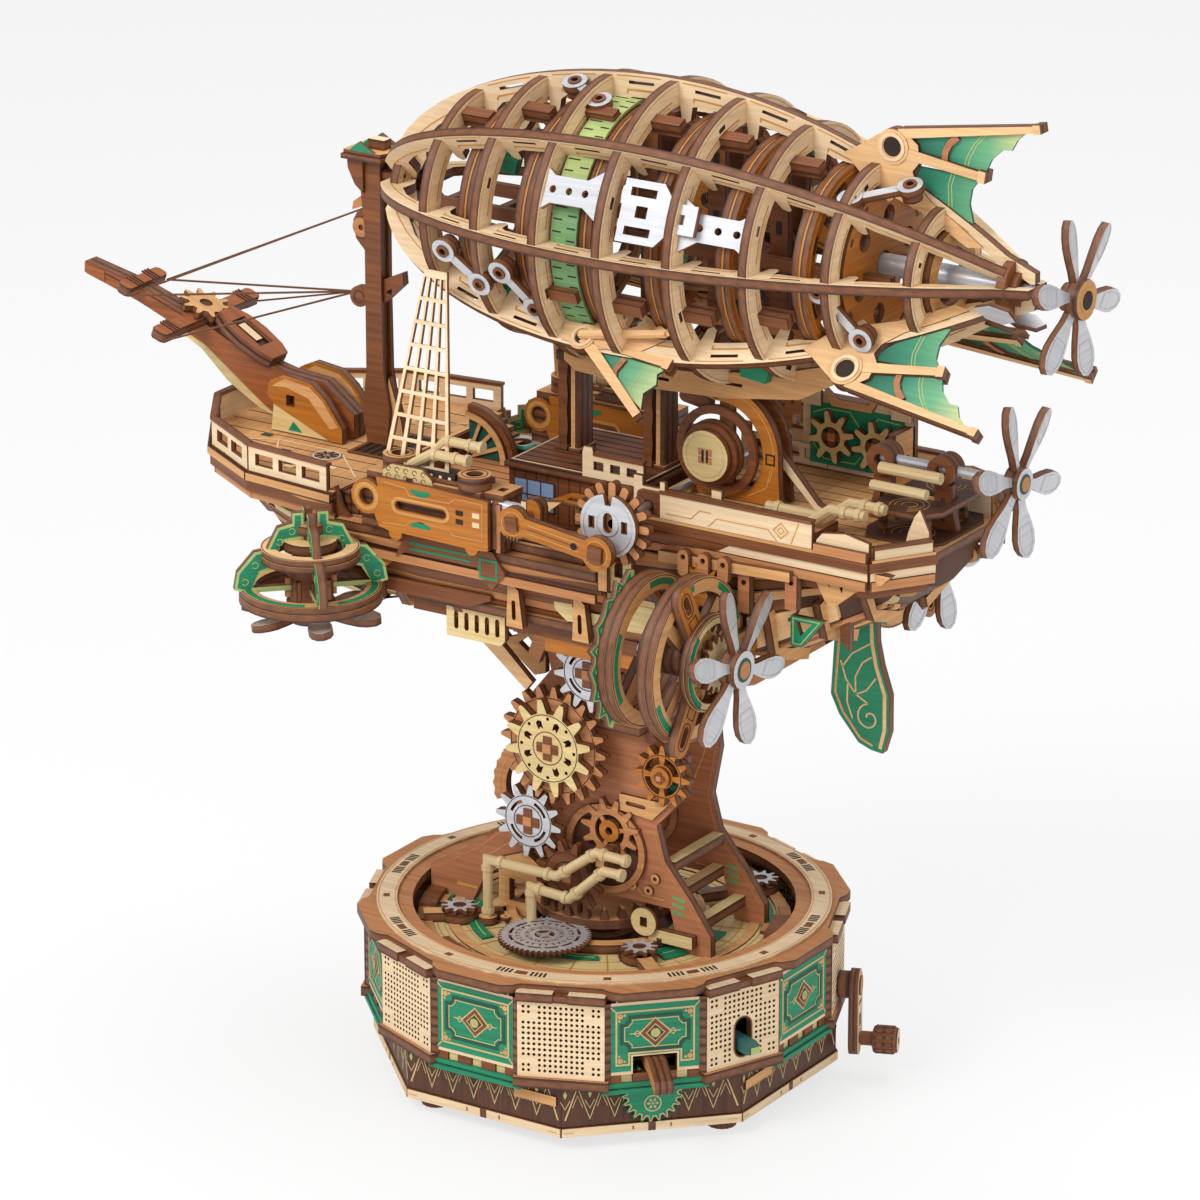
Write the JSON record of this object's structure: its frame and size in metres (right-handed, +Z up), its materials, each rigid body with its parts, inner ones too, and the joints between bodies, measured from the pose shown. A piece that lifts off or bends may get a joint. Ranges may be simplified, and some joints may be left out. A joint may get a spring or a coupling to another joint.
{
  "type": "puzzle music box",
  "caption": "Hand-cranked plywood music box: a geared airship with an open rib balloon turns on a round drum.",
  "frame": {"origin": "centre of the underside of the drum's bottom plate, on the turning axis, above the feet", "axes": "+Z up along the turning axis, +X towards the airship's stern, +Y towards its far side"},
  "size_m": [0.3644, 0.174, 0.331],
  "materials": {
    "pale_ply": "matte laser-cut plywood",
    "tan_ply": "matte plywood",
    "brown_ply": "stained plywood",
    "dark_ply": "dark stained plywood",
    "pink_ply": "pink-brown stained plywood",
    "orange_ply": "orange stained plywood",
    "green_ply": "green painted plywood",
    "silver_ply": "silver painted plywood",
    "cream_ply": "cream plywood",
    "steel": "bright steel",
    "thread": "waxed thread"
  },
  "bodies": {
    "drum": {"base_plate": "tan_ply", "skirt_wall": "dark_ply", "body_wall": "pale_ply", "top_ring": "brown_ply", "pale_ring": "cream_ply", "sun_spindle": "tan_ply", "music_bed": "tan_ply", "tone_comb": "steel"},
    "crank": {"crank_shaft": "steel", "crank_arm": "brown_ply"},
    "turntable": {"turntable_disc": "green_ply", "deck_arms": "brown_ply", "near_cheek": "pink_ply", "far_cheek": "pink_ply", "hull_shell": "brown_ply", "rudder": "green_ply", "fore_deck": "tan_ply", "waist_deck": "brown_ply", "quarter_deck": "tan_ply", "bowsprit": "brown_ply", "mast": "brown_ply", "rigging_thread": "thread", "shroud_near": "cream_ply", "shroud_far": "cream_ply", "engine_near": "orange_ply", "engine_far": "orange_ply", "flywheel_arch": "orange_ply", "gear_panel": "green_ply", "deck_house": "brown_ply", "balloon_frame": "pale_ply", "rib_1": "pale_ply", "rib_2": "pale_ply", "rib_3": "pale_ply", "rib_4": "pale_ply", "rib_5": "pale_ply", "rib_6": "pale_ply", "rib_7": "pale_ply", "side_nacelle_near": "brown_ply", "side_nacelle_far": "brown_ply", "rotor_cage_near": "brown_ply", "rotor_cage_far": "brown_ply"},
    "crank_knob": {"crank_knob": "tan_ply"},
    "pin_cylinder": {"pin_cylinder": "steel"},
    "switch_lever": {"switch_lever": "brown_ply"},
    "mode_lever": {"mode_lever": "green_ply"},
    "column_pinion": {"column_pinion": "tan_ply"},
    "lower_gear": {"lower_gear": "silver_ply"},
    "big_gear": {"big_gear": "cream_ply"},
    "upper_gear": {"upper_gear": "silver_ply"},
    "orange_gear": {"orange_gear": "orange_ply"},
    "rear_propeller": {"rear_propeller": "silver_ply"},
    "stern_propeller": {"stern_propeller": "silver_ply"},
    "side_propeller_near": {"side_propeller_near": "silver_ply"},
    "side_propeller_far": {"side_propeller_far": "silver_ply"},
    "bow_rotor_near": {"bow_rotor_near": "silver_ply"},
    "bow_rotor_far": {"bow_rotor_far": "silver_ply"},
    "drive_wheels": {"drive_wheels": "silver_ply"},
    "flywheel": {"flywheel": "pale_ply"},
    "piston": {"piston": "silver_ply"},
    "connecting_rod": {"connecting_rod": "orange_ply"}
  },
  "joints": [
    {"name": "turntable_turn", "type": "hinge", "parent": "drum", "child": "turntable", "pos_m": [0, 0, 0.0405], "axis": [0, 0, 1], "continuous": true},
    {"name": "crank_turn", "type": "hinge", "parent": "drum", "child": "crank", "pos_m": [0.03326, 0.01378, 0.026], "axis": [0.9239, 0.3827, 0], "continuous": true},
    {"name": "crank_knob_spin", "type": "hinge", "parent": "crank", "child": "crank_knob", "pos_m": [0.07881, 0.03264, 0.008], "axis": [0.9239, 0.3827, 0], "continuous": true},
    {"name": "cylinder_turn", "type": "hinge", "parent": "drum", "child": "pin_cylinder", "pos_m": [0.00811, 0.02484, 0.026], "axis": [0.9239, 0.3827, 0], "continuous": true},
    {"name": "column_pinion_turn", "type": "hinge", "parent": "turntable", "child": "column_pinion", "pos_m": [0, -0.0198, 0.0639], "axis": [0, -1, 0], "continuous": true},
    {"name": "lower_gear_turn", "type": "hinge", "parent": "turntable", "child": "lower_gear", "pos_m": [-0.0147, -0.0198, 0.07972], "axis": [0, -1, 0], "continuous": true},
    {"name": "big_gear_turn", "type": "hinge", "parent": "turntable", "child": "big_gear", "pos_m": [-0.00533, -0.0198, 0.10695], "axis": [0, -1, 0], "continuous": true},
    {"name": "upper_gear_turn", "type": "hinge", "parent": "turntable", "child": "upper_gear", "pos_m": [0.0073, -0.0198, 0.13284], "axis": [0, -1, 0], "continuous": true},
    {"name": "orange_gear_turn", "type": "hinge", "parent": "turntable", "child": "orange_gear", "pos_m": [0.032, -0.0155, 0.103], "axis": [0, -1, 0], "continuous": true},
    {"name": "rear_propeller_spin", "type": "hinge", "parent": "turntable", "child": "rear_propeller", "pos_m": [0.1634, 0, 0.2745], "axis": [1, 0, 0], "continuous": true},
    {"name": "stern_propeller_spin", "type": "hinge", "parent": "turntable", "child": "stern_propeller", "pos_m": [0.145, 0, 0.2145], "axis": [1, 0, 0], "continuous": true},
    {"name": "side_propeller_near_spin", "type": "hinge", "parent": "turntable", "child": "side_propeller_near", "pos_m": [0.085, -0.06, 0.1625], "axis": [1, 0, 0], "continuous": true},
    {"name": "side_propeller_far_spin", "type": "hinge", "parent": "turntable", "child": "side_propeller_far", "pos_m": [0.085, 0.06, 0.1625], "axis": [1, 0, 0], "continuous": true},
    {"name": "bow_rotor_near_spin", "type": "hinge", "parent": "turntable", "child": "bow_rotor_near", "pos_m": [-0.067, -0.063, 0.1515], "axis": [0, 0, 1], "continuous": true},
    {"name": "bow_rotor_far_spin", "type": "hinge", "parent": "turntable", "child": "bow_rotor_far", "pos_m": [-0.067, 0.063, 0.1515], "axis": [0, 0, 1], "continuous": true},
    {"name": "drive_wheels_turn", "type": "hinge", "parent": "turntable", "child": "drive_wheels", "pos_m": [0.038, 0, 0.1975], "axis": [0, -1, 0], "continuous": true},
    {"name": "flywheel_turn", "type": "hinge", "parent": "turntable", "child": "flywheel", "pos_m": [0.048, -0.0145, 0.2105], "axis": [0, -1, 0], "continuous": true},
    {"name": "piston_slide", "type": "slide", "parent": "turntable", "child": "piston", "axis": [1, 0, 0], "range_m": [-0.007, 0.007]},
    {"name": "rod_swing", "type": "hinge", "parent": "piston", "child": "connecting_rod", "pos_m": [0.008, -0.0622, 0.1945], "axis": [0, -1, 0], "range_deg": [0, 26]},
    {"name": "switch_lever_swing", "type": "hinge", "parent": "drum", "child": "switch_lever", "pos_m": [0.03677, -0.03677, 0.0246], "axis": [0, 0, 1], "range_deg": [-8, 8]},
    {"name": "mode_lever_tilt", "type": "hinge", "parent": "drum", "child": "mode_lever", "pos_m": [0.05081, -0.02105, 0.0265], "axis": [-0.3827, -0.9239, 0], "range_deg": [0, 15]}
  ],
  "couplings": [
    {"joint": "crank_turn", "follows": "turntable_turn", "ratio": -3},
    {"joint": "cylinder_turn", "follows": "turntable_turn", "ratio": 1.5},
    {"joint": "column_pinion_turn", "follows": "turntable_turn", "ratio": -1.8333},
    {"joint": "lower_gear_turn", "follows": "turntable_turn", "ratio": 1.8333},
    {"joint": "big_gear_turn", "follows": "turntable_turn", "ratio": -1.1},
    {"joint": "upper_gear_turn", "follows": "turntable_turn", "ratio": 1.8333},
    {"joint": "orange_gear_turn", "follows": "turntable_turn", "ratio": -1.5},
    {"joint": "rear_propeller_spin", "follows": "turntable_turn", "ratio": -3},
    {"joint": "stern_propeller_spin", "follows": "turntable_turn", "ratio": 3},
    {"joint": "side_propeller_near_spin", "follows": "turntable_turn", "ratio": -3},
    {"joint": "side_propeller_far_spin", "follows": "turntable_turn", "ratio": 3},
    {"joint": "bow_rotor_near_spin", "follows": "turntable_turn", "ratio": -3},
    {"joint": "bow_rotor_far_spin", "follows": "turntable_turn", "ratio": 3},
    {"joint": "drive_wheels_turn", "follows": "turntable_turn", "ratio": -1.5},
    {"joint": "flywheel_turn", "follows": "turntable_turn", "ratio": 1.5}
  ]
}
